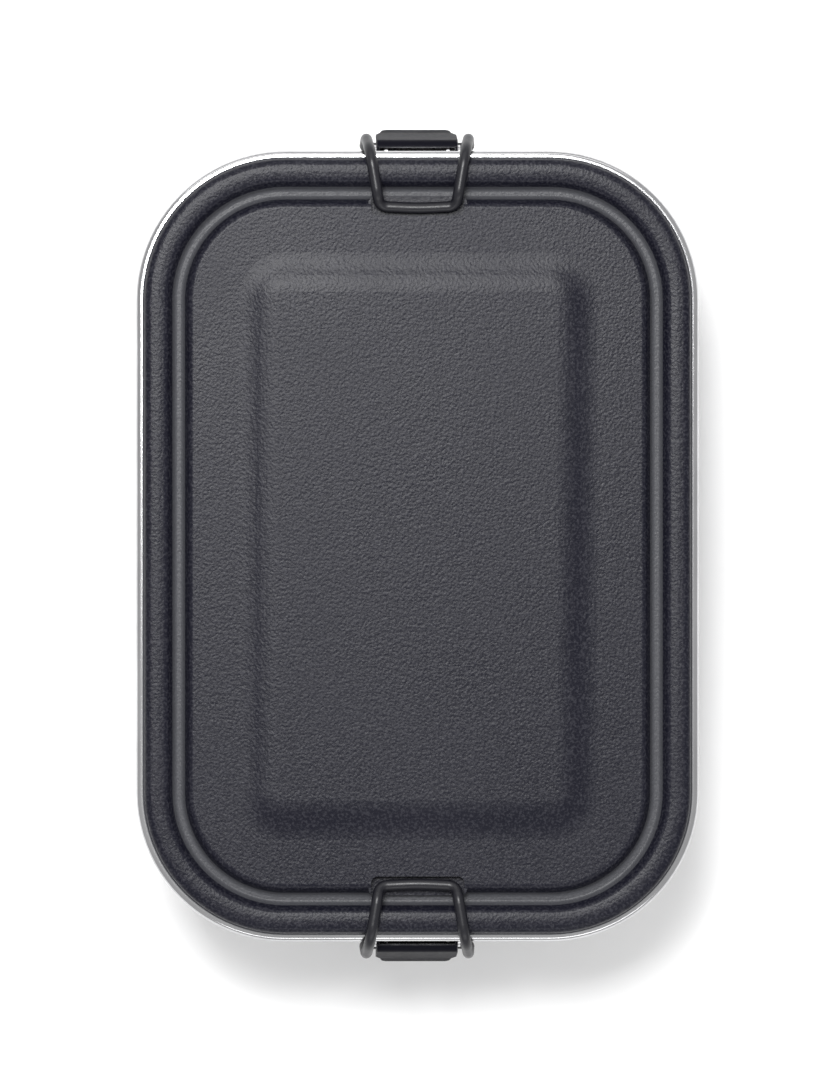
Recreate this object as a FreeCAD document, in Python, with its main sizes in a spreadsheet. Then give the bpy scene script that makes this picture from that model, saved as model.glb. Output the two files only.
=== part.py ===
import FreeCAD, Part
import math
import os
import re
import Sketcher

# A two-piece stainless food box: a drawn tray with a rolled rim, a drawn lid with a pressed
# groove and a raised centre panel, a silicone gasket, and an over-centre wire latch at each
# short end. +Z is up, +Y runs along the box towards the back latch, +X across it. The origin
# is the centre of the underside of the tray. Everything is in millimetres.

Vector = FreeCAD.Vector

SIZES = {
    # tray
    "tray_length": 170.0,        # over the rolled rim
    "tray_width": 121.0,
    "tray_height": 49.5,         # underside of the base to the top of the rim
    "tray_sheet": 0.6,
    "rim_corner": 32.0,          # corner radius of the rolled rim, seen from above
    "rim_curl": 2.4,             # outer diameter of the rolled edge
    "rim_curl_round": 1.12,
    "flange_width": 5.0,         # rolled edge to the outside of the wall
    "flange_bend": 0.8,
    "wall_lean": 2.5,            # how far the wall comes in from the rim to the base
    "base_round": 9.0,           # outside radius between wall and base
    "base_strip": 3.0,           # flat strip inside the base radius
    # lid
    "lid_inset": 1.4,            # lid edge inside the rim edge
    "lid_gap": 0.3,              # lid edge above the rim
    "lid_sheet": 0.6,
    "lid_hem": 1.1,              # rolled hem along the lid's lower edge
    "lid_hem_round": 0.48,
    "lid_hem_step": 0.35,        # skirt set back from the hem
    "crown_height": 3.6,         # crown of the lid's border above the rim
    "crown_shoulder": 0.35,      # border's outer shoulder below its crown
    "shoulder_round": 1.7,
    "crown_place": 3.3,          # crown of the border, in from the lid edge
    "crown_round": 8.0,
    "groove_start": 5.3,         # top of the groove's outer wall, in from the lid edge
    "groove_floor_out": 7.0,     # outer edge of the groove's floor
    "groove_floor_in": 8.6,      # inner edge of the groove's floor
    "groove_end": 10.2,          # top of the groove's inner wall
    "groove_depth": 3.2,
    "groove_round": 0.85,
    "groove_lip": 1.4,
    "panel_drop": 0.2,           # flat of the lid below the border's crown
    "plateau_foot": 22.4,        # foot of the raised panel, in from the lid edge
    "plateau_top": 27.2,         # top of its slope
    "plateau_rise": 0.9,
    "plateau_blend": 20.0,
    "lid_strip": 30.0,           # inner end of the swept border
    # gasket
    "gasket_out": 1.35,          # outer face of the gasket, in from the lid edge
    "gasket_in": 4.3,
    "gasket_gap": 0.25,          # gasket above the flange
    "gasket_top": 0.05,          # gasket below the lid's underside
    "gasket_round": 0.4,
    # latch pivots, measured out from the rim edge and down from the top of the rim
    "pivot_inset": 0.2,
    "pivot_drop": 6.2,
    "pin_radius": 1.0,
    "pin_fit": 0.02,
    "pin_head": 1.6,
    "pin_head_thick": 0.5,
    "throw": 3.5,                # lever pivot to bail pivot
    "throw_angle": 73.0,         # below the horizontal, with the latch closed
    "running_fit": 0.06,
    # bracket
    "bracket_sheet": 0.62,
    "bracket_ear": 6.97,         # outside of each ear, from the middle
    "bracket_ear_round": 1.8,
    "bracket_plate": 10.0,       # half width of the welded plate
    "bracket_top": 3.4,          # plate above the pivot
    "bracket_bottom": 12.0,      # plate below the pivot
    "bracket_corner": 1.5,
    # lever
    "lever_sheet": 0.6,
    "lever_ear": 8.75,           # outside of each ear, from the middle
    "lever_ear_round": 2.3,
    "lever_gap": 2.2,            # inside of the lever's plate beyond the pivot
    "lever_reach": 22.5,         # lever pivot down to the lip
    "lever_flare": 2.4,          # how far the plate leans out on the way down
    "hood_short": 0.9,           # where the hood over the pivot stops, beyond the pivot
    "hood_round": 1.2,
    "lip_length": 3.2,
    "lip_flare": 0.4,
    "lip_half": 7.2,             # half width at the lip
    "lip_corner": 1.9,
    "ear_length": 13.5,          # lever pivot down to the end of its ears
    # bail
    "wire_radius": 1.2,
    "bail_half": 11.3,           # legs at the pivot, from the middle
    "bar_half": 8.2,             # legs at the crossbar
    "bar_inset": 10.65,          # crossbar, in from the lid edge
    "bar_bow": 0.4,
    "bail_tail": 7.5,            # where the bent-in ends stop, from the middle
    "tail_bend": 1.9,
    "bar_bend": 2.1,
    "bow_bend": 60.0,
    "leg_out": 2.9,              # legs beyond the rim edge
    "leg_bend": 5.0,
    "leg_gap": 0.35,             # legs above the lid's crown
    "dip_place": 7.9,            # where the legs start down into the seat
    "dip_bend": 3.0,
    # seat for the crossbar, pressed into the lid
    "seat_half": 10.0,
    "seat_gap": 0.3,             # crossbar above the seat
    "seat_floor": 1.2,           # seat above the groove's floor
    "seat_corner": 2.3,
    "seat_clear": 0.4,           # seat beyond the crossbar
}

document = FreeCAD.newDocument("metal_lunch_box")
sheet = document.addObject("Spreadsheet::Sheet", "Sizes")
for row, (alias, value) in enumerate(SIZES.items(), start=1):
    sheet.set(f"A{row}", alias)
    sheet.set(f"B{row}", str(value))
    sheet.setAlias(f"B{row}", alias)
document.recompute()

# Places that several pieces share, each worked out from the sheet.
RIM_X = "tray_width / 2"
RIM_Y = "tray_length / 2"
WALL_TOP = f"{RIM_X} - flange_width"
WALL_FOOT = f"{WALL_TOP} - wall_lean"
BASE_EDGE = f"{WALL_FOOT} - base_round - base_strip"
LID_X = f"({RIM_X} - lid_inset)"
LID_Y = f"({RIM_Y} - lid_inset)"
LID_CORNER = "(rim_corner - lid_inset)"
LID_EDGE_Z = "(tray_height + lid_gap)"
CROWN_Z = "(tray_height + crown_height)"
SHOULDER_Z = f"({CROWN_Z} - crown_shoulder)"
GROOVE_Z = f"({CROWN_Z} - groove_depth)"
PANEL_Z = f"({CROWN_Z} - panel_drop)"
PLATEAU_Z = f"({PANEL_Z} + plateau_rise)"
SEAT_Z = f"({GROOVE_Z} + seat_floor)"
PIVOT_Y = f"({RIM_Y} - pivot_inset)"
PIVOT_Z = "(tray_height - pivot_drop)"
BAIL_PIVOT_Y = f"({PIVOT_Y} + throw * cos(throw_angle))"
BAIL_PIVOT_Z = f"({PIVOT_Z} - throw * sin(throw_angle))"
BAR_Y = f"({LID_Y} - bar_inset)"
BAR_Z = f"({SEAT_Z} + seat_gap + wire_radius)"
LEG_Z = f"({CROWN_Z} + leg_gap + wire_radius)"

WORD = re.compile(r"[a-z_]+")


def bound(expression):
    """The expression with each size read from the sheet."""
    return WORD.sub(lambda word: "Sizes." + word.group() if word.group() in SIZES else word.group(),
                    expression.replace("(throw_angle)", "(throw_angle * 1deg)"))


def size(expression):
    """The expression's value in millimetres."""
    value = sheet.evalExpression(bound(expression))
    return float(getattr(value, "Value", value))


def new_body(label):
    body = document.addObject("PartDesign::Body", label)
    body.Label = label
    return body


def plane(body, role):
    return next(item for item in body.Origin.OriginFeatures if item.Role == role)


def corner_tangents(before, corner, after, radius):
    """Where an arc of this radius leaves the two lines that meet at a corner, and its middle."""
    back = (before - corner).normalize()
    ahead = (after - corner).normalize()
    half_angle = back.getAngle(ahead) / 2
    run = radius / math.tan(half_angle)
    centre = corner + (back + ahead).normalize() * (radius / math.sin(half_angle))
    middle = centre + (corner - centre).normalize() * radius
    return corner + back * run, middle, corner + ahead * run


def turn_direction(points, index):
    """Above zero where the outline turns left at this corner."""
    before, corner, after = points[index - 1], points[index], points[(index + 1) % len(points)]
    return (corner - before).cross(after - corner).z


def add_outline(sketch, outline):
    """A closed outline of lines, with an arc at each corner that has a radius.

    outline lists (across, up) or (across, up, radius), each an expression, and every corner
    is held to the sheet.
    """
    points = [Vector(size(corner[0]), size(corner[1]), 0) for corner in outline]
    radii = [size(corner[2]) if len(corner) > 2 else 0 for corner in outline]
    count = len(points)
    ends = []
    for index, point in enumerate(points):
        if radii[index]:
            ends.append(corner_tangents(points[index - 1], point, points[(index + 1) % count],
                                        radii[index]))
        else:
            ends.append((point, point, point))
    lines = [sketch.addGeometry(Part.LineSegment(ends[index][2], ends[(index + 1) % count][0]), False)
             for index in range(count)]
    shape = []
    dimensions = []
    for index, corner in enumerate(outline):
        line_in, line_out = lines[index - 1], lines[index]
        if radii[index]:
            marker = sketch.addGeometry(Part.Point(points[index]), True)
            turns_left = turn_direction(points, index) > 0
            arc = sketch.addGeometry(Part.Arc(*(ends[index] if turns_left else ends[index][::-1])), False)
            first, last = (1, 2) if turns_left else (2, 1)
            shape += [Sketcher.Constraint("PointOnObject", marker, 1, line_in),
                      Sketcher.Constraint("PointOnObject", marker, 1, line_out),
                      Sketcher.Constraint("Tangent", line_in, 2, arc, first),
                      Sketcher.Constraint("Tangent", line_out, 1, arc, last)]
            dimensions.append(("Radius", (arc,), corner[2]))
        else:
            marker = line_out
            shape.append(Sketcher.Constraint("Coincident", line_in, 2, line_out, 1))
        dimensions += [("DistanceX", (-1, 1, marker, 1), corner[0]),
                       ("DistanceY", (-1, 1, marker, 1), corner[1])]
    hold(sketch, dimensions, shape)


def hold(sketch, dimensions, shape=()):
    """Add the constraints together, then tie each dimension to the sheet."""
    first = len(sketch.Constraints) + len(shape)
    sketch.addConstraint(list(shape) + [Sketcher.Constraint(kind, *geometry, size(expression))
                                        for kind, geometry, expression in dimensions])
    for index, (_, _, expression) in enumerate(dimensions, start=first):
        sketch.setExpression(f"Constraints[{index}]", bound(expression))


def add_circle(sketch, across, up, radius):
    circle = sketch.addGeometry(Part.Circle(Vector(size(across), size(up), 0), Vector(0, 0, 1),
                                            size(radius)), False)
    hold(sketch, [("DistanceX", (-1, 1, circle, 3), across), ("DistanceY", (-1, 1, circle, 3), up),
                  ("Radius", (circle,), radius)])


def new_sketch(body, name, role, height=None):
    sketch = body.newObject("Sketcher::SketchObject", f"{body.Name}_{name}")
    sketch.AttachmentSupport = [(plane(body, role), "")]
    sketch.MapMode = "FlatFace"
    if height:
        sketch.setExpression(".AttachmentOffset.Base.z", bound(height))
    return sketch


def outline_sketch(body, name, role, *outlines, height=None):
    sketch = new_sketch(body, name, role, height)
    for outline in outlines:
        add_outline(sketch, outline)
    document.recompute()
    return sketch


def circle_sketch(body, name, role, circles, height=None):
    """Circles given as (across, up, radius) expressions."""
    sketch = new_sketch(body, name, role, height)
    for circle in circles:
        add_circle(sketch, *circle)
    document.recompute()
    return sketch


def rounded_rectangle(half_x, half_y, radius, middle_y="0"):
    return [(f"{across}({half_x})", f"{middle_y} {along} ({half_y})", radius)
            for across, along in (("", "-"), ("", "+"), ("-", "+"), ("-", "-"))]


def pad(body, sketch, length, symmetric=False):
    feature = body.newObject("PartDesign::Pad", sketch.Name + "_pad")
    feature.Profile = sketch
    feature.Midplane = symmetric
    feature.setExpression("Length", bound(length))
    document.recompute()
    return feature


def cut(body, sketch, length, symmetric=False, upward=False):
    """A pocket, checked to have taken something away."""
    volume = body.Shape.Volume
    feature = body.newObject("PartDesign::Pocket", sketch.Name + "_cut")
    feature.Profile = sketch
    feature.Midplane = symmetric
    feature.Reversed = upward
    feature.setExpression("Length", bound(length))
    document.recompute()
    if body.Shape.Volume > volume - 1e-3:
        raise RuntimeError(f"{feature.Name} cut nothing")
    return feature


def sweep_round(body, path, profile):
    """The profile carried right round a closed path."""
    feature = body.newObject("PartDesign::AdditivePipe", profile.Name + "_sweep")
    feature.Profile = profile
    feature.Spine = (path, [])
    document.recompute()
    return feature


def rounded_wire(points, radii):
    """Straight runs through the points, joined by tangent arcs of the given radii."""
    edges = []
    start = points[0]
    for index in range(1, len(points) - 1):
        first, middle, last = corner_tangents(points[index - 1], points[index], points[index + 1],
                                              radii[index - 1])
        edges.append(Part.LineSegment(start, first).toShape())
        edges.append(Part.Arc(first, middle, last).toShape())
        start = last
    edges.append(Part.LineSegment(start, points[-1]).toShape())
    return Part.Wire(edges)


def make_tray():
    """Drawn from one sheet: flat base, leaning wall, flange and a rolled edge."""
    body = new_body("tray")
    floor = outline_sketch(body, "floor", "XY_Plane", rounded_rectangle(
        f"{BASE_EDGE} + base_strip / 2",
        f"{BASE_EDGE} + base_strip / 2 + (tray_length - tray_width) / 2",
        "rim_corner - flange_width - wall_lean - base_round - base_strip / 2"))
    pad(body, floor, "tray_sheet")
    path = outline_sketch(body, "rim_line", "XY_Plane", rounded_rectangle(RIM_X, RIM_Y, "rim_corner"))
    section = outline_sketch(body, "section", "XZ_Plane", [
        (BASE_EDGE, "0"),
        (WALL_FOOT, "0", "base_round"),
        (WALL_TOP, "tray_height - tray_sheet", "flange_bend"),
        (f"{RIM_X} - rim_curl", "tray_height - tray_sheet"),
        (f"{RIM_X} - rim_curl", "tray_height - rim_curl", "rim_curl_round"),
        (RIM_X, "tray_height - rim_curl", "rim_curl_round"),
        (RIM_X, "tray_height", "rim_curl_round"),
        (f"{WALL_TOP} - tray_sheet", "tray_height", "flange_bend + tray_sheet"),
        (f"{WALL_FOOT} - tray_sheet", "tray_sheet", "base_round - tray_sheet"),
        (BASE_EDGE, "tray_sheet")])
    sweep_round(body, path, section)
    return body


def in_from_edge(inset, height, radius=None):
    """A corner of a section under or in the lid, set in from the lid edge."""
    corner = (f"{LID_X} - ({inset})", height)
    return corner + (radius,) if radius else corner


def outline_face(outline, turn_up=True, height=0.0):
    """A flat face inside an outline, upright in the XZ plane or lying at a height."""
    points = [Vector(size(corner[0]), size(corner[1]), 0) for corner in outline]
    edges = []
    corners = []
    for index, corner in enumerate(outline):
        after = points[(index + 1) % len(points)]
        radius = size(corner[2]) if len(corner) > 2 else 0
        corners.append(corner_tangents(points[index - 1], points[index], after, radius)
                       if radius else (points[index],) * 3)
    for index, (first, middle, last) in enumerate(corners):
        if first != last:
            edges.append(Part.Arc(first, middle, last).toShape())
        edges.append(Part.LineSegment(last, corners[(index + 1) % len(corners)][0]).toShape())
    face = Part.Face(Part.Wire(edges))
    if turn_up:
        face.rotate(Vector(0, 0, 0), Vector(1, 0, 0), 90)
    else:
        face.translate(Vector(0, 0, height))
    return face


def carried_round(section, half_x, half_y, corner):
    """An upright section carried round a rounded rectangle: four runs and four turned corners."""
    axis_x, axis_y = half_x - corner, half_y - corner
    quarter = 90
    runs = []
    for turn, (across, along) in enumerate(((axis_x, axis_y), (-axis_x, axis_y),
                                            (-axis_x, -axis_y), (axis_x, -axis_y))):
        straight = axis_y if turn % 2 == 0 else axis_x
        start = section.copy()
        start.translate(Vector(axis_y if turn % 2 else axis_x, 0, 0) - Vector(axis_x, 0, 0))
        start.rotate(Vector(0, 0, 0), Vector(0, 0, 1), quarter * turn)
        way = Vector(0, straight * 2, 0)
        way = FreeCAD.Rotation(Vector(0, 0, 1), quarter * turn).multVec(way)
        start.translate(way * -0.5)
        runs.append(start.extrude(way))
        end = start.copy()
        end.translate(way)
        runs.append(end.revolve(Vector(across, along, 0), Vector(0, 0, 1), quarter))
    return runs


def lid_section():
    side = "lid_sheet * 0.6"
    return outline_face([
        in_from_edge("lid_hem", LID_EDGE_Z, "lid_hem_round"),
        in_from_edge("0", LID_EDGE_Z, "lid_hem_round"),
        in_from_edge("0", f"{LID_EDGE_Z} + lid_hem", "lid_hem_round"),
        in_from_edge("lid_hem_step", f"{LID_EDGE_Z} + lid_hem"),
        in_from_edge("lid_hem_step", SHOULDER_Z, "shoulder_round"),
        in_from_edge("crown_place", CROWN_Z, "crown_round"),
        in_from_edge("groove_start", SHOULDER_Z, "groove_lip"),
        in_from_edge("groove_floor_out", GROOVE_Z, "groove_round"),
        in_from_edge("groove_floor_in", GROOVE_Z, "groove_round"),
        in_from_edge("groove_end", PANEL_Z, "groove_lip"),
        in_from_edge("plateau_foot", PANEL_Z, "plateau_blend"),
        in_from_edge("plateau_top", PLATEAU_Z, "plateau_blend"),
        in_from_edge("lid_strip", PLATEAU_Z),
        in_from_edge("lid_strip", f"{PLATEAU_Z} - lid_sheet"),
        in_from_edge("plateau_top", f"{PLATEAU_Z} - lid_sheet", "plateau_blend"),
        in_from_edge("plateau_foot", f"{PANEL_Z} - lid_sheet", "plateau_blend"),
        in_from_edge(f"groove_end + {side}", f"{PANEL_Z} - lid_sheet", "groove_round"),
        in_from_edge(f"groove_floor_in + {side}", f"{GROOVE_Z} - lid_sheet", "groove_round"),
        in_from_edge(f"groove_floor_out - {side}", f"{GROOVE_Z} - lid_sheet", "groove_round"),
        in_from_edge(f"groove_start - {side}", f"{SHOULDER_Z} - lid_sheet", "groove_round"),
        in_from_edge("crown_place", f"{CROWN_Z} - lid_sheet", "crown_round * 0.7"),
        in_from_edge("lid_hem_step + lid_sheet", f"{SHOULDER_Z} - lid_sheet",
                     "shoulder_round - lid_sheet"),
        in_from_edge("lid_hem_step + lid_sheet", f"{LID_EDGE_Z} + lid_hem"),
        in_from_edge("lid_hem", f"{LID_EDGE_Z} + lid_hem")])


def seat_block(end, wall, low_z, high_z, reach):
    """The shallow well for the crossbar at one end of the lid, or the sheet round it."""
    inner = f"({BAR_Y} - bar_bow - wire_radius - seat_clear - {wall})"
    outer = f"({LID_Y} - groove_floor_in + {reach})"
    face = outline_face(rounded_rectangle(f"seat_half + {wall}", f"({outer} - {inner}) / 2",
                                          "seat_corner * 0.6",
                                          middle_y=f"{end} * ({outer} + {inner}) / 2"),
                        turn_up=False, height=size(low_z))
    return face.extrude(Vector(0, 0, size(high_z) - size(low_z)))


def make_lid():
    """Drawn from one sheet: hemmed skirt, crowned border, groove, raised middle and two seats.

    The section has more corners than a sketch solves quickly, so the lid is built from the
    same sizes with Part's own functions.
    """
    border = carried_round(lid_section(), size(LID_X), size(LID_Y), size(LID_CORNER))
    middle = outline_face(rounded_rectangle(f"{LID_X} - lid_strip", f"{LID_Y} - lid_strip",
                                            f"{LID_CORNER} - lid_strip"),
                          turn_up=False, height=size(f"{PLATEAU_Z} - lid_sheet"))
    middle = middle.extrude(Vector(0, 0, size("lid_sheet")))
    walls = [seat_block(end, "lid_sheet", f"{SEAT_Z} - lid_sheet", f"{PANEL_Z} - lid_sheet / 2", "0")
             for end in (1, -1)]
    wells = [seat_block(end, "0", SEAT_Z, f"{SEAT_Z} + crown_height", "groove_round")
             for end in (1, -1)]
    lid = document.addObject("Part::Feature", "lid")
    lid.Label = "lid"
    lid.Shape = border[0].multiFuse(border[1:] + [middle] + walls).cut(wells).removeSplitter()
    return lid


def make_gasket():
    """A plain silicone ring in the channel under the lid's border."""
    body = new_body("lid_gasket")
    top = f"{SHOULDER_Z} - lid_sheet - gasket_top"
    bottom = "tray_height + gasket_gap"
    path = outline_sketch(body, "edge_line", "XY_Plane", rounded_rectangle(LID_X, LID_Y, LID_CORNER))
    section = outline_sketch(body, "section", "XZ_Plane", [
        in_from_edge("gasket_in", bottom, "gasket_round"),
        in_from_edge("gasket_out", bottom, "gasket_round"),
        in_from_edge("gasket_out", top, "gasket_round"),
        in_from_edge("gasket_in", top, "gasket_round")])
    sweep_round(body, path, section)
    return body


def wall_at(height):
    """Outside of the tray's end wall at this height above the base."""
    return (f"({RIM_Y} - flange_width - wall_lean"
            f" + wall_lean * ({height}) / (tray_height - tray_sheet))")


def make_bracket(side):
    """A folded plate welded to the tray's end wall, with two ears that carry the pin."""
    body = new_body(f"{side}_bracket")
    top = f"({PIVOT_Z} + bracket_top)"
    bottom = f"({PIVOT_Z} - bracket_bottom)"
    ear_head = f"({PIVOT_Z} - bracket_bottom * 0.45)"
    ear_foot = f"({PIVOT_Z} - bracket_bottom * 0.8)"
    plate = outline_sketch(body, "plate", "YZ_Plane", [
        (wall_at(bottom), bottom),
        (f"{wall_at(bottom)} + bracket_sheet", bottom),
        (f"{wall_at(top)} + bracket_sheet", top),
        (wall_at(top), top)])
    pad(body, plate, "bracket_plate * 2", symmetric=True)
    ears = outline_sketch(body, "ears", "YZ_Plane", [
        (f"{wall_at(ear_foot)} + bracket_sheet / 2", ear_foot),
        (f"{PIVOT_Y} + bracket_ear_round", f"{PIVOT_Z} - bracket_ear_round", "bracket_ear_round * 0.98"),
        (f"{PIVOT_Y} + bracket_ear_round", f"{PIVOT_Z} + bracket_ear_round", "bracket_ear_round * 0.98"),
        (f"{PIVOT_Y} - pin_radius", f"{PIVOT_Z} + bracket_ear_round", "pin_radius * 0.9"),
        (f"{wall_at(ear_head)} + bracket_sheet / 2", ear_head)])
    pad(body, ears, "bracket_ear * 2", symmetric=True)
    between = outline_sketch(body, "between", "YZ_Plane", [
        (f"{wall_at(bottom)} + bracket_sheet", bottom),
        (f"{PIVOT_Y} + bracket_ear_round * 2", bottom),
        (f"{PIVOT_Y} + bracket_ear_round * 2", top),
        (f"{wall_at(top)} + bracket_sheet", top)])
    cut(body, between, "(bracket_ear - bracket_sheet) * 2", symmetric=True)
    trim = outline_sketch(body, "trim", "XZ_Plane",
                          rounded_rectangle("bracket_plate * 2", "bracket_bottom * 2", "bracket_corner",
                                            middle_y=PIVOT_Z),
                          rounded_rectangle("bracket_plate", "(bracket_top + bracket_bottom) / 2",
                                            "bracket_corner",
                                            middle_y=f"{PIVOT_Z} + (bracket_top - bracket_bottom) / 2"))
    cut(body, trim, "tray_length * 2", symmetric=True)
    bore = circle_sketch(body, "bore", "YZ_Plane", [(PIVOT_Y, PIVOT_Z, "pin_radius + pin_fit")])
    cut(body, bore, "bracket_ear * 3", symmetric=True)
    return body


def make_pin(side):
    """The pin through the bracket and the lever, headed at both ends."""
    body = new_body(f"{side}_pivot_pin")
    shank = circle_sketch(body, "shank", "YZ_Plane", [(PIVOT_Y, PIVOT_Z, "pin_radius")])
    pad(body, shank, "(lever_ear + running_fit + pin_head_thick) * 2", symmetric=True)
    for name, start in (("right", "lever_ear + running_fit"),
                        ("left", "-lever_ear - running_fit - pin_head_thick")):
        head = circle_sketch(body, f"{name}_head", "YZ_Plane", [(PIVOT_Y, PIVOT_Z, "pin_head")],
                             height=start)
        pad(body, head, "pin_head_thick")
    return body


def lever_face(drop, outside="0"):
    """Inside of the lever's plate this far below the pivot, or that much further out."""
    return f"({PIVOT_Y} + lever_gap + lever_flare * ({drop}) / lever_reach + {outside})"


def make_lever(side):
    """A folded channel: a hooded plate that leans out to a finger lip, and two ears on the pin."""
    body = new_body(f"{side}_lever")
    straight = "(lever_reach - lip_length)"
    under = f"({PIVOT_Z} + lever_gap)"
    over = f"({under} + lever_sheet)"
    hood_end = f"({PIVOT_Y} + hood_short)"
    plate = [
        (hood_end, under),
        (lever_face("-lever_gap"), under, "hood_round"),
        (lever_face(straight), f"{PIVOT_Z} - {straight}", "lip_length"),
        (f"{lever_face('lever_reach')} + lip_flare", f"{PIVOT_Z} - lever_reach"),
        (f"{lever_face('lever_reach', 'lever_sheet')} + lip_flare",
         f"{PIVOT_Z} - lever_reach + lever_sheet / 3"),
        (lever_face(straight, "lever_sheet"), f"{PIVOT_Z} - {straight}", "lip_length - lever_sheet"),
        (lever_face("-lever_gap", "lever_sheet"), over, "hood_round + lever_sheet"),
        (hood_end, over)]
    pad(body, outline_sketch(body, "plate", "YZ_Plane", plate), "lever_ear * 2", symmetric=True)
    ears = outline_sketch(body, "ears", "YZ_Plane", [
        (f"{PIVOT_Y} - lever_ear_round", over, "lever_ear_round * 0.95"),
        (f"{PIVOT_Y} - lever_ear_round", f"{BAIL_PIVOT_Z} - lever_ear_round / 2", "lever_ear_round"),
        (lever_face("ear_length", "lever_sheet / 2"), f"{PIVOT_Z} - ear_length"),
        (lever_face("-lever_gap / 2", "lever_sheet / 2"), f"{PIVOT_Z} + lever_gap / 2"),
        (f"{hood_end} + lever_sheet / 2", over)])
    pad(body, ears, "lever_ear * 2", symmetric=True)
    inboard = f"({PIVOT_Y} - lever_ear_round * 2)"
    between = outline_sketch(body, "between", "YZ_Plane", [
        (hood_end, under),
        (hood_end, f"{PIVOT_Z} + lever_gap * 2"),
        (inboard, f"{PIVOT_Z} + lever_gap * 2"),
        (inboard, f"{PIVOT_Z} - {straight}"),
        (lever_face(straight), f"{PIVOT_Z} - {straight}"),
        (lever_face("-lever_gap"), under, "hood_round")])
    cut(body, between, "(lever_ear - lever_sheet) * 2", symmetric=True)
    trim = outline_sketch(body, "trim", "XZ_Plane",
                          rounded_rectangle("lever_ear * 2", "lever_reach * 2", "lip_corner",
                                            middle_y=PIVOT_Z),
                          [("lever_ear + 0.01", f"{PIVOT_Z} + lever_reach"),
                           ("-lever_ear - 0.01", f"{PIVOT_Z} + lever_reach"),
                           ("-lever_ear - 0.01", f"{PIVOT_Z} - ear_length"),
                           ("-lip_half", f"{PIVOT_Z} - lever_reach", "lip_corner"),
                           ("lip_half", f"{PIVOT_Z} - lever_reach", "lip_corner"),
                           ("lever_ear + 0.01", f"{PIVOT_Z} - ear_length")])
    cut(body, trim, "tray_length * 2", symmetric=True)
    bores = circle_sketch(body, "bores", "YZ_Plane", [
        (PIVOT_Y, PIVOT_Z, "pin_radius + running_fit"),
        (BAIL_PIVOT_Y, BAIL_PIVOT_Z, "wire_radius + running_fit")])
    cut(body, bores, "lever_ear * 3", symmetric=True)
    return body


def make_bail(side):
    """One length of spring wire: hooked ends in the lever, legs over the lid, and a crossbar."""
    def place(across, along, up):
        return Vector(size(across), size(along), size(up))

    half = [place("bail_tail", BAIL_PIVOT_Y, BAIL_PIVOT_Z),
            place("bail_half", BAIL_PIVOT_Y, BAIL_PIVOT_Z),
            place("bail_half - 0.3", f"{RIM_Y} + leg_out", "tray_height - rim_curl"),
            place("bail_half - 1.1", f"{RIM_Y} - 0.5", LEG_Z),
            place("bar_half + 0.5", f"{LID_Y} - dip_place", LEG_Z),
            place("bar_half", BAR_Y, BAR_Z)]
    bends = [size(name) for name in ("tail_bend", "leg_bend", "leg_bend", "dip_bend", "bar_bend")]
    middle = place("0", f"{BAR_Y} - bar_bow", BAR_Z)
    other = [Vector(-point.x, point.y, point.z) for point in reversed(half)]
    line = rounded_wire(half + [middle] + other, bends + [size("bow_bend")] + bends[::-1])
    section = Part.Wire(Part.Circle(half[0], Vector(1, 0, 0), size("wire_radius")).toShape())
    bail = document.addObject("Part::Feature", f"{side}_bail")
    bail.Label = f"{side}_bail"
    bail.Shape = line.makePipeShell([section], True, True)
    return bail


pieces = [make_tray(), make_lid(), make_gasket()]
for side, turn in (("back", 0), ("front", 180)):
    for make in (make_bracket, make_pin, make_lever, make_bail):
        piece = make(side)
        piece.Placement = FreeCAD.Placement(Vector(0, 0, 0), FreeCAD.Rotation(Vector(0, 0, 1), turn))
        pieces.append(piece)
document.recompute()

for item in document.Objects:
    if "Invalid" in item.State or "Error" in item.State:
        raise RuntimeError(f"{item.Name} failed: {item.State}")
for piece in pieces:
    if piece.Shape.isNull() or not piece.Shape.isValid() or len(piece.Shape.Solids) != 1:
        raise RuntimeError(f"{piece.Label} isn't one valid solid")

os.makedirs("parts", exist_ok=True)
for piece in pieces:
    piece.Shape.exportStep(f"parts/{piece.Label}.step")
    box = piece.Shape.BoundBox
    print(f"{piece.Label}: {piece.Shape.Volume:.1f} mm3, {box.XLength:.1f} x {box.YLength:.1f}"
          f" x {box.ZLength:.1f} mm")
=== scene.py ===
import math

import bpy
from mathutils import Matrix, Vector


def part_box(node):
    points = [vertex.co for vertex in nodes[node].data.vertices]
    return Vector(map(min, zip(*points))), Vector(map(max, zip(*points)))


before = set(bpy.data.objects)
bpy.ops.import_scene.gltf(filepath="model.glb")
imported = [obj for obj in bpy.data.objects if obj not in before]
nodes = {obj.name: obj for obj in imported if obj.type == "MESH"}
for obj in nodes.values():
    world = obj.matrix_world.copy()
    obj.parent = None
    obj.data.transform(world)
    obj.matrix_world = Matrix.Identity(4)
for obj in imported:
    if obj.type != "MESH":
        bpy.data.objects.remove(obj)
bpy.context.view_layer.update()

# Sizes in metres, in the frame of the CAD model.
RIM_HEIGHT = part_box("tray")[1][2]
LID_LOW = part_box("lid")[0][2]
RIM_CENTRE = Vector((0.0, 0.0, RIM_HEIGHT))

# The camera looks almost straight down.
VIEW_HEIGHT = 0.2322             # what the image's height covers at the rim
CAMERA_DISTANCE = 2.5
CAMERA_LEAN = math.radians(0.2)  # towards the back of the box
CAMERA_SIDE = math.radians(-1.0)  # towards its left, -X
AIM = Vector((0.0001, 0.0013, RIM_HEIGHT))
NEAREST_SEEN = 0.01

# Each light: its place, its width and depth, and its power in watts.
LIGHTS = {
    "key": ((-0.11, 0.27, 1.02), (0.34, 0.34), 12.0),
    "back_strip": ((-0.05, 0.60, 0.40), (0.9, 0.16), 0.8),
    "front_fill": ((0.1, -0.70, 0.55), (0.9, 0.16), 1.6),
}
WORLD_STRENGTH = 0.66

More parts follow.
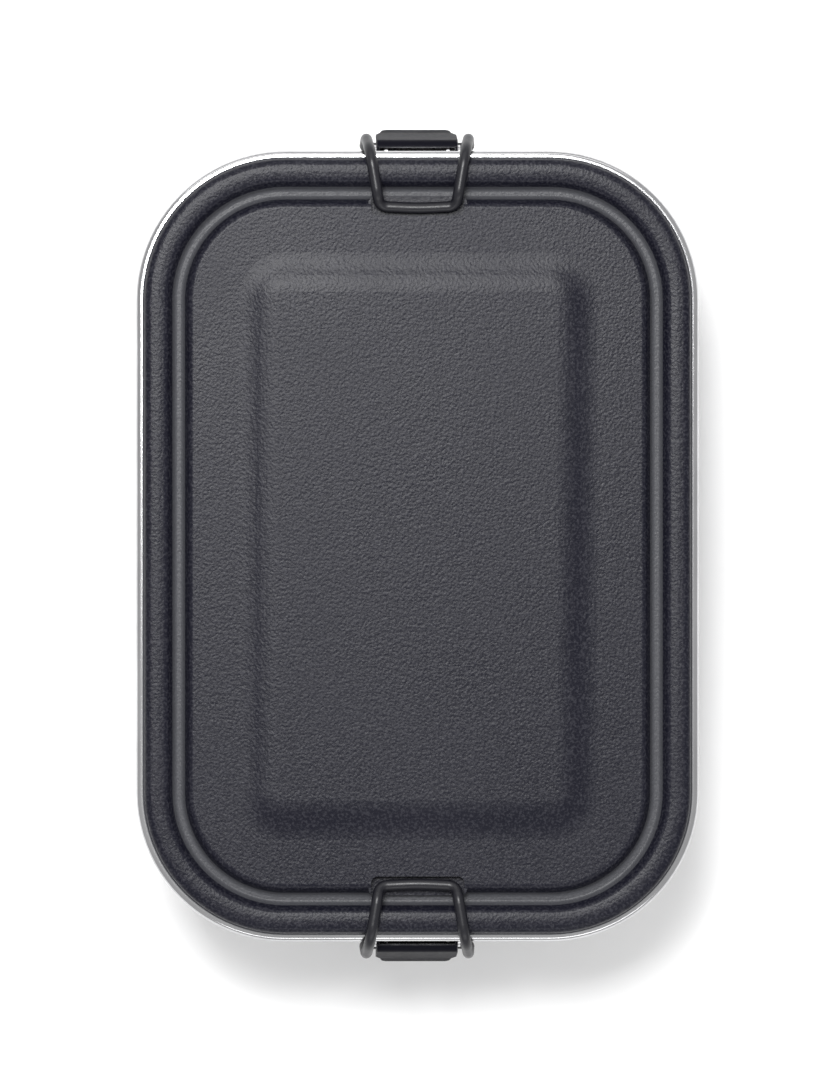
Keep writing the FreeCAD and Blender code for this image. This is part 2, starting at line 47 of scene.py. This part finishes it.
FLOOR_HALF = 3.0
FLOOR_DROP = 0.0001              # so the floor and the base don't share a plane
FLOOR_COLOUR = (0.92, 0.92, 0.92)

# Sizes on the object.
HEM_TOP = LID_LOW + 0.0014       # the hem is the lowest part of the lid
HEM_FADE = 0.0003
POLISH_FROM = RIM_HEIGHT - 0.0035
POLISH_FADE = 0.0012
COAT_GRAIN = 0.00055
COAT_CELL = 0.00062
# Radius of the edges painted paler: a painted edge highlight, partly wear.
EDGE_HIGHLIGHT_AND_WEAR_RADIUS = 0.00035

# Linear colours.
COAT_DARK = (0.0040, 0.0041, 0.0090)
COAT_PALE = (0.0065, 0.0066, 0.0120)
COAT_SPECK = (0.021, 0.021, 0.028)
# Paler colour of the hem: a painted highlight.
HEM_HIGHLIGHT_COLOUR = (0.11, 0.112, 0.12)
SHEET_STEEL = (0.52, 0.52, 0.53)
PIN_STEEL = (0.58, 0.58, 0.59)
LEVER_BLACK = (0.003, 0.003, 0.006)
# Paler edge colours: a painted edge highlight, partly rubbed wear.
LEVER_EDGE_HIGHLIGHT_AND_WEAR = (0.30, 0.30, 0.31)
WIRE_BLACK = (0.007, 0.007, 0.010)
WIRE_EDGE_HIGHLIGHT_AND_WEAR = (0.10, 0.10, 0.11)
SEAL_GREY = (0.50, 0.50, 0.49)
SEAL_BLOOM = (0.60, 0.60, 0.58)

# Places of the colour sockets among the Mix node's own.
MIX_FIRST, MIX_SECOND, MIX_RESULT = 6, 7, 2


def new_material(name):
    """An empty node material, its Principled shader, and short names for its nodes."""
    material = bpy.data.materials.new(name)
    material.use_nodes = True
    tree = material.node_tree
    tree.nodes.clear()
    output = tree.nodes.new("ShaderNodeOutputMaterial")
    shader = tree.nodes.new("ShaderNodeBsdfPrincipled")
    tree.links.new(shader.outputs["BSDF"], output.inputs["Surface"])
    return material, tree, shader


def place(tree, stretch=(1.0, 1.0, 1.0)):
    """The point on the object, stretched along each axis."""
    where = tree.nodes.new("ShaderNodeTexCoord")
    mapping = tree.nodes.new("ShaderNodeMapping")
    mapping.inputs["Scale"].default_value = stretch
    tree.links.new(where.outputs["Object"], mapping.inputs["Vector"])
    return mapping.outputs["Vector"]


def noise(tree, vector, grain, detail=3.0, roughness=0.5):
    """Noise whose features are about grain metres across, from 0 to 1."""
    node = tree.nodes.new("ShaderNodeTexNoise")
    node.inputs["Scale"].default_value = 1.0 / grain
    node.inputs["Detail"].default_value = detail
    node.inputs["Roughness"].default_value = roughness
    tree.links.new(vector, node.inputs["Vector"])
    return node.outputs["Fac"]


def spread(tree, value, low, high, start=0.3, stop=0.7):
    """The value from start to stop, spread over low to high."""
    node = tree.nodes.new("ShaderNodeMapRange")
    node.inputs["From Min"].default_value = start
    node.inputs["From Max"].default_value = stop
    node.inputs["To Min"].default_value = low
    node.inputs["To Max"].default_value = high
    tree.links.new(value, node.inputs["Value"])
    return node.outputs["Result"]


def blend_colour(tree, factor, first, second):
    """One colour turning to the other; each is a colour or an output."""
    node = tree.nodes.new("ShaderNodeMix")
    node.data_type = "RGBA"
    tree.links.new(factor, node.inputs["Factor"])
    for socket, colour in ((node.inputs[MIX_FIRST], first), (node.inputs[MIX_SECOND], second)):
        if isinstance(colour, tuple):
            socket.default_value = (*colour, 1.0)
        else:
            tree.links.new(colour, socket)
    return node.outputs[MIX_RESULT]


def calculate(tree, operation, first, second):
    """A math node on two values, each a number or an output."""
    node = tree.nodes.new("ShaderNodeMath")
    node.operation = operation
    for socket, value in zip(node.inputs, (first, second)):
        if isinstance(value, (int, float)):
            socket.default_value = value
        else:
            tree.links.new(value, socket)
    return node.outputs[0]


def bump(tree, height, depth, strength=1.0, under=None):
    """A bump of this depth in metres, on top of another one if given."""
    node = tree.nodes.new("ShaderNodeBump")
    node.inputs["Distance"].default_value = depth
    node.inputs["Strength"].default_value = strength
    tree.links.new(height, node.inputs["Height"])
    if under:
        tree.links.new(under, node.inputs["Normal"])
    return node.outputs["Normal"]


def height_mask(tree, low, high):
    """0 below low, 1 above high, along Z."""
    where = tree.nodes.new("ShaderNodeTexCoord")
    split = tree.nodes.new("ShaderNodeSeparateXYZ")
    tree.links.new(where.outputs["Object"], split.inputs[0])
    return spread(tree, split.outputs["Z"], 0.0, 1.0, low, high)


def edge_mask(tree, radius, low=0.02, high=0.22):
    """1 on edges sharper than the radius, 0 on smooth faces."""
    bevel = tree.nodes.new("ShaderNodeBevel")
    bevel.samples = 6
    bevel.inputs["Radius"].default_value = radius
    geometry = tree.nodes.new("ShaderNodeNewGeometry")
    dot = tree.nodes.new("ShaderNodeVectorMath")
    dot.operation = "DOT_PRODUCT"
    tree.links.new(bevel.outputs["Normal"], dot.inputs[0])
    tree.links.new(geometry.outputs["Normal"], dot.inputs[1])
    sharp = calculate(tree, "SUBTRACT", 1.0, dot.outputs["Value"])
    return spread(tree, sharp, 0.0, 1.0, low, high)


def powder_coat():
    """Charcoal powder coat: a fine pebbled grain, cloudy gloss and a hem painted paler as a painted
    highlight.
    """
    material, tree, shader = new_material("charcoal_powder_coat")
    here = place(tree)
    grain = noise(tree, here, COAT_GRAIN, detail=2.5, roughness=0.62)
    cells = tree.nodes.new("ShaderNodeTexVoronoi")
    cells.feature = "SMOOTH_F1"
    cells.inputs["Scale"].default_value = 1.0 / COAT_CELL
    tree.links.new(here, cells.inputs["Vector"])
    cloud = noise(tree, here, 0.03, detail=4.0)
    body = blend_colour(tree, spread(tree, cloud, 0.0, 1.0), COAT_DARK, COAT_PALE)
    specks = spread(tree, grain, 0.0, 0.9, 0.48, 0.62)
    speckled = blend_colour(tree, specks, body, COAT_SPECK)
    # Painted highlight: the hem, the lowest band of the lid, is painted paler.
    hem = spread(tree, height_mask(tree, HEM_TOP, HEM_TOP + HEM_FADE), 0.45, 0.0, 0.0, 1.0)
    tree.links.new(blend_colour(tree, hem, speckled, HEM_HIGHLIGHT_COLOUR), shader.inputs["Base Color"])
    gloss = spread(tree, calculate(tree, "MULTIPLY", grain, cloud), 0.31, 0.40, 0.1, 0.4)
    tree.links.new(gloss, shader.inputs["Roughness"])
    shader.inputs["Specular IOR Level"].default_value = 0.16
    coarse = bump(tree, cells.outputs["Distance"], 0.00007, 0.6)
    tree.links.new(bump(tree, grain, 0.00009, 0.7, coarse), shader.inputs["Normal"])
    return material


def drawn_steel(name, colour, stretch, line, polished_rim=False):
    """Stainless steel: drawn lines this fine, soft smudges, light scratches, a polished rim."""
    material, tree, shader = new_material(name)
    lines = noise(tree, place(tree, stretch), line, detail=3.0)
    smudge = noise(tree, place(tree), 0.018, detail=4.0)
    scratch = noise(tree, place(tree, (1.0, 0.06, 0.5)), 0.0006, detail=2.0)
    shader.inputs["Metallic"].default_value = 1.0
    dull = tuple(part * 0.82 for part in colour)
    tree.links.new(blend_colour(tree, spread(tree, smudge, 0.0, 1.0), colour, dull),
                   shader.inputs["Base Color"])
    satin = spread(tree, calculate(tree, "ADD", lines, smudge), 0.20, 0.34, 0.7, 1.3)
    if polished_rim:
        rim = height_mask(tree, POLISH_FROM, POLISH_FROM + POLISH_FADE)
        shine = spread(tree, rim, 1.0, 0.55, 0.0, 1.0)
        satin = calculate(tree, "MULTIPLY", satin, shine)
    tree.links.new(satin, shader.inputs["Roughness"])
    fine = bump(tree, lines, 0.000012, 0.5)
    scratches = spread(tree, scratch, 0.0, 1.0, 0.62, 0.7)
    tree.links.new(bump(tree, scratches, 0.000006, 0.4, fine), shader.inputs["Normal"])
    return material


def black_coat(name, colour, edge_highlight_and_wear, rough, gloss):
    """Smooth black coat on folded sheet or wire, painted paler in patches along its edges: a painted
    edge highlight, partly rubbed wear.
    """
    material, tree, shader = new_material(name)
    here = place(tree)
    skin = noise(tree, here, 0.0009, detail=3.0)
    rub = noise(tree, here, 0.004, detail=5.0, roughness=0.65)
    patches = spread(tree, rub, 0.15, 0.9, 0.35, 0.65)
    # Painted highlight and wear: edges sharper than the radius are painted paler, in patches.
    edge_highlight_and_wear_mask = calculate(tree, "MULTIPLY", edge_mask(tree, EDGE_HIGHLIGHT_AND_WEAR_RADIUS), patches)
    tree.links.new(blend_colour(tree, edge_highlight_and_wear_mask, colour, edge_highlight_and_wear), shader.inputs["Base Color"])
    satin = spread(tree, calculate(tree, "ADD", skin, rub), *rough, 0.7, 1.3)
    tree.links.new(satin, shader.inputs["Roughness"])
    tree.links.new(bump(tree, skin, 0.000018, 0.5), shader.inputs["Normal"])
    shader.inputs["Specular IOR Level"].default_value = gloss
    return material


def silicone():
    """Milky grey seal with a slight bloom and moulding texture."""
    material, tree, shader = new_material("grey_silicone")
    here = place(tree)
    bloom = noise(tree, here, 0.006, detail=4.0)
    pores = noise(tree, here, 0.0004, detail=2.0)
    milky = blend_colour(tree, spread(tree, bloom, 0.0, 1.0), SEAL_GREY, SEAL_BLOOM)
    tree.links.new(milky, shader.inputs["Base Color"])
    tree.links.new(spread(tree, bloom, 0.42, 0.6), shader.inputs["Roughness"])
    shader.inputs["Subsurface Weight"].default_value = 0.12
    shader.inputs["Subsurface Radius"].default_value = (0.001, 0.001, 0.001)
    tree.links.new(bump(tree, pores, 0.00002, 0.4), shader.inputs["Normal"])
    return material


def paint(node, material):
    """Give a CAD node one material all over."""
    slots = nodes[node].data.materials
    slots.clear()
    slots.append(material)
    for polygon in nodes[node].data.polygons:
        polygon.material_index = 0


def paint_all():
    """Every CAD node in its own finish, the two latches alike."""
    finishes = {
        "tray": drawn_steel("satin_steel", SHEET_STEEL, (1.0, 1.0, 0.08), 0.00018, polished_rim=True),
        "lid": powder_coat(),
        "lid_gasket": silicone(),
    }
    latch = {
        "bracket": drawn_steel("pressed_steel", SHEET_STEEL, (0.1, 1.0, 1.0), 0.00012),
        "pivot_pin": drawn_steel("turned_steel", PIN_STEEL, (0.2, 1.0, 1.0), 0.0001),
        "lever": black_coat("lever_coat", LEVER_BLACK, LEVER_EDGE_HIGHLIGHT_AND_WEAR, (0.50, 0.62), gloss=0.05),
        "bail": black_coat("wire_coat", WIRE_BLACK, WIRE_EDGE_HIGHLIGHT_AND_WEAR, (0.30, 0.42), gloss=0.35),
    }
    for side in ("back", "front"):
        for piece, material in latch.items():
            finishes[f"{side}_{piece}"] = material
    for node, material in finishes.items():
        paint(node, material)


def make_floor():
    """A plain pale sheet under the box."""
    mesh = bpy.data.meshes.new("floor")
    half = FLOOR_HALF
    corners = [(-half, -half, 0), (half, -half, 0), (half, half, 0), (-half, half, 0)]
    mesh.from_pydata(corners, [], [(0, 1, 2, 3)])
    floor = bpy.data.objects.new("floor", mesh)
    bpy.context.scene.collection.objects.link(floor)
    floor.location.z = -FLOOR_DROP
    material, tree, shader = new_material("pale_floor")
    shader.inputs["Base Color"].default_value = (*FLOOR_COLOUR, 1.0)
    shader.inputs["Roughness"].default_value = 0.9
    shader.inputs["Specular IOR Level"].default_value = 0.1
    mesh.materials.append(material)


def aim(thing, target):
    """Turn a light to face the target."""
    thing.rotation_euler = (target - thing.location).to_track_quat("-Z", "Y").to_euler()


def make_light(name, location, size, power):
    """A soft rectangular light aimed at the middle of the rim."""
    data = bpy.data.lights.new(name, "AREA")
    data.shape = "RECTANGLE"
    data.size, data.size_y = size
    data.energy = power
    light = bpy.data.objects.new(name, data)
    bpy.context.scene.collection.objects.link(light)
    light.location = location
    aim(light, RIM_CENTRE)


def make_world(strength):
    """Even white light from all round."""
    world = bpy.data.worlds.new("studio")
    bpy.context.scene.world = world
    world.use_nodes = True
    background = world.node_tree.nodes["Background"]
    background.inputs["Color"].default_value = (1.0, 1.0, 1.0, 1.0)
    background.inputs["Strength"].default_value = strength


def make_camera():
    """A long lens over the box, with the back of the box at the top of the image."""
    data = bpy.data.cameras.new("camera")
    camera = bpy.data.objects.new("camera", data)
    bpy.context.scene.collection.objects.link(camera)
    toward = Vector((math.sin(CAMERA_SIDE), math.sin(CAMERA_LEAN), 1.0)).normalized()
    camera.location = AIM + toward * CAMERA_DISTANCE
    forward = -toward
    right = forward.cross(Vector((0, 1, 0))).normalized()
    up = right.cross(forward)
    camera.rotation_euler = Matrix((right, up, -forward)).transposed().to_euler()
    data.sensor_fit = "VERTICAL"
    data.angle = 2 * math.atan(VIEW_HEIGHT / 2 / CAMERA_DISTANCE)
    data.clip_start = NEAREST_SEEN
    bpy.context.scene.camera = camera


paint_all()
make_floor()
for name, (location, size, power) in LIGHTS.items():
    make_light(name, location, size, power)
make_world(WORLD_STRENGTH)
make_camera()
bpy.context.scene.view_settings.view_transform = "Standard"
